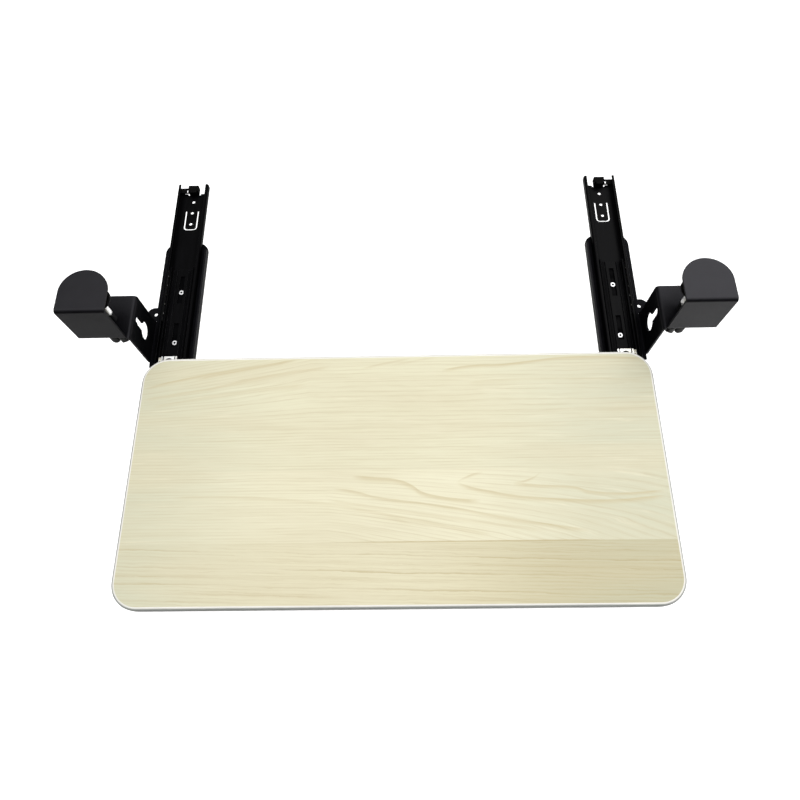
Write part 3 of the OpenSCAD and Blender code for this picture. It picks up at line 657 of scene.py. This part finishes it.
def threaded_rod(name, side):
    """A clamp screw with a real helical thread, its neck and its swivel tip."""
    low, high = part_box(side + "_clamp_screw")
    neck_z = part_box(side + "_pressure_plate")[0].z - SWIVEL_PLAY
    centre = (low + high) / 2
    angles = [2 * math.pi * j / AROUND for j in range(AROUND)]
    mesh = bmesh.new()
    loops = []
    for z, radii in thread_rings(low, high, neck_z):
        loops.append([mesh.verts.new((centre.x + r * math.cos(a), centre.y + r * math.sin(a), z))
                      for r, a in zip(radii, angles)])
    for below, above in zip(loops, loops[1:]):
        for j in range(AROUND):
            k = (j + 1) % AROUND
            mesh.faces.new((below[j], below[k], above[k], above[j]))
    mesh.faces.new(loops[0][::-1])
    mesh.faces.new(loops[-1])
    data = bpy.data.meshes.new(name)
    mesh.to_mesh(data)
    mesh.free()
    return add_object(name, data)


for side in SIDES:
    rod = threaded_rod(side + "_threaded_rod", side)
    paint(rod, "shaded_thread")
    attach(rod, side + "_clamp_spindle")
    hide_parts(side + "_clamp_screw")


# ------------------------------------------------------------------ camera, light and floor

# The photograph's camera: yaw, pitch and roll in degrees, place in metres, focal length in
# millimetres on a sensor 36 mm wide
CAMERA_YAW, CAMERA_PITCH, CAMERA_ROLL = -3.005, 67.506, -3.66
CAMERA_PLACE = (0.0226, -0.40245, 0.68497)
CAMERA_LENS = 30.195
SENSOR_WIDTH = 36

SUN_POWER, SUN_SPREAD = 2.7, 80
SUN_TILT = (-8, 8, 0)
STRIP_POWER, STRIP_SIZE = 6.5, (0.5, 1.6)
STRIP_PLACE, STRIP_TARGET = Vector((1.15, 1.0, 1.5)), Vector((0.1, 0, -0.1))
FLOOR_HALF = 6.0
DESK_HEIGHT = 0.74


def place_camera():
    yaw, pitch, roll = map(math.radians, (CAMERA_YAW, CAMERA_PITCH, CAMERA_ROLL))
    ahead = Vector((math.sin(yaw) * math.cos(pitch), math.cos(yaw) * math.cos(pitch),
                    -math.sin(pitch)))
    flat = Vector((math.cos(yaw), -math.sin(yaw), 0))
    right = math.cos(roll) * flat + math.sin(roll) * flat.cross(ahead)
    up = right.cross(ahead)
    data = bpy.data.cameras.new("camera")
    data.sensor_width = SENSOR_WIDTH
    data.lens = CAMERA_LENS
    camera = add_object("camera", data)
    turn = Matrix((right, up, -ahead)).transposed().to_4x4()
    camera.matrix_world = Matrix.Translation(CAMERA_PLACE) @ turn
    bpy.context.scene.camera = camera


def add_light(name, kind, energy, **settings):
    data = bpy.data.lights.new(name, kind)
    data.energy = energy
    for key, value in settings.items():
        setattr(data, key, value)
    return add_object(name, data)


def light_studio():
    """A wide soft light overhead and a strip at the right, in a studio dim low down and in front.

    The camera sees the studio evenly white.
    """
    world = bpy.data.worlds.new("studio")
    world.use_nodes = True
    bpy.context.scene.world = world
    w = Nodes(world.node_tree)
    backdrop = w.tree.nodes["Background"]
    backdrop.inputs["Color"].default_value = (1, 1, 1, 1)
    x, y, z = w.axes(w.add("ShaderNodeTexCoord").outputs["Generated"])
    by_height = w.spread(z, 0.35, 0.90, 0.06, 0.55, smooth=True)
    by_depth = w.spread(y, -0.7, 0.4, 0.5, 1.0, smooth=True)
    by_side = w.spread(x, -0.5, 0.5, 0.96, 1.05, smooth=True)
    glow = w.times(w.times(by_height, by_depth), by_side)
    seen = w.add("ShaderNodeLightPath").outputs["Is Camera Ray"]
    w.feed(backdrop.inputs["Strength"], w.pick(seen, glow, 1.0))

    overhead = add_light("overhead", "SUN", SUN_POWER, angle=math.radians(SUN_SPREAD))
    overhead.rotation_euler = [math.radians(a) for a in SUN_TILT]
    strip = add_light("strip", "AREA", STRIP_POWER, shape="RECTANGLE",
                      size=STRIP_SIZE[0], size_y=STRIP_SIZE[1])
    strip.location = STRIP_PLACE
    strip.rotation_euler = (STRIP_TARGET - STRIP_PLACE).to_track_quat("-Z", "Y").to_euler()


def lay_floor():
    """A pale floor, one desk's height under the desk's top.

    The camera sees it pale all over. What it throws back on the part is pale near the part only,
    and dimmer on the left.
    """
    mesh = bpy.data.meshes.new("floor")
    corners = [(-1, -1), (1, -1), (1, 1), (-1, 1)]
    mesh.from_pydata([(i * FLOOR_HALF, j * FLOOR_HALF, 0) for i, j in corners], [], [(0, 1, 2, 3)])
    floor = add_object("floor", mesh)
    floor.location = (0, 0, -DESK_HEIGHT)

    s = Shader("floor", Specular_IOR_Level=0.2, Emission_Color=(1, 1, 1))
    seen = s.add("ShaderNodeLightPath").outputs["Is Camera Ray"]
    pale = s.blend(s.noise(400, 2), (0.97, 0.97, 0.97), (0.94, 0.94, 0.94))
    x, y, _ = s.axes(s.coord)
    away = s.math("SQRT", s.plus(s.times(x, x), s.times(y, y)))
    thrown = s.times(s.spread(away, 1.0, 2.0, 0.9, 0.12, smooth=True),
                     s.spread(x, -0.7, 0.7, 0.55, 1.0))
    color = s.blend(seen, s.vector(thrown, thrown, thrown), pale)
    mesh.materials.append(s.finish(color, 0.8, Emission_Strength=s.times(seen, 0.30)))


place_camera()
light_studio()
lay_floor()
bpy.context.scene.view_settings.view_transform = "Standard"
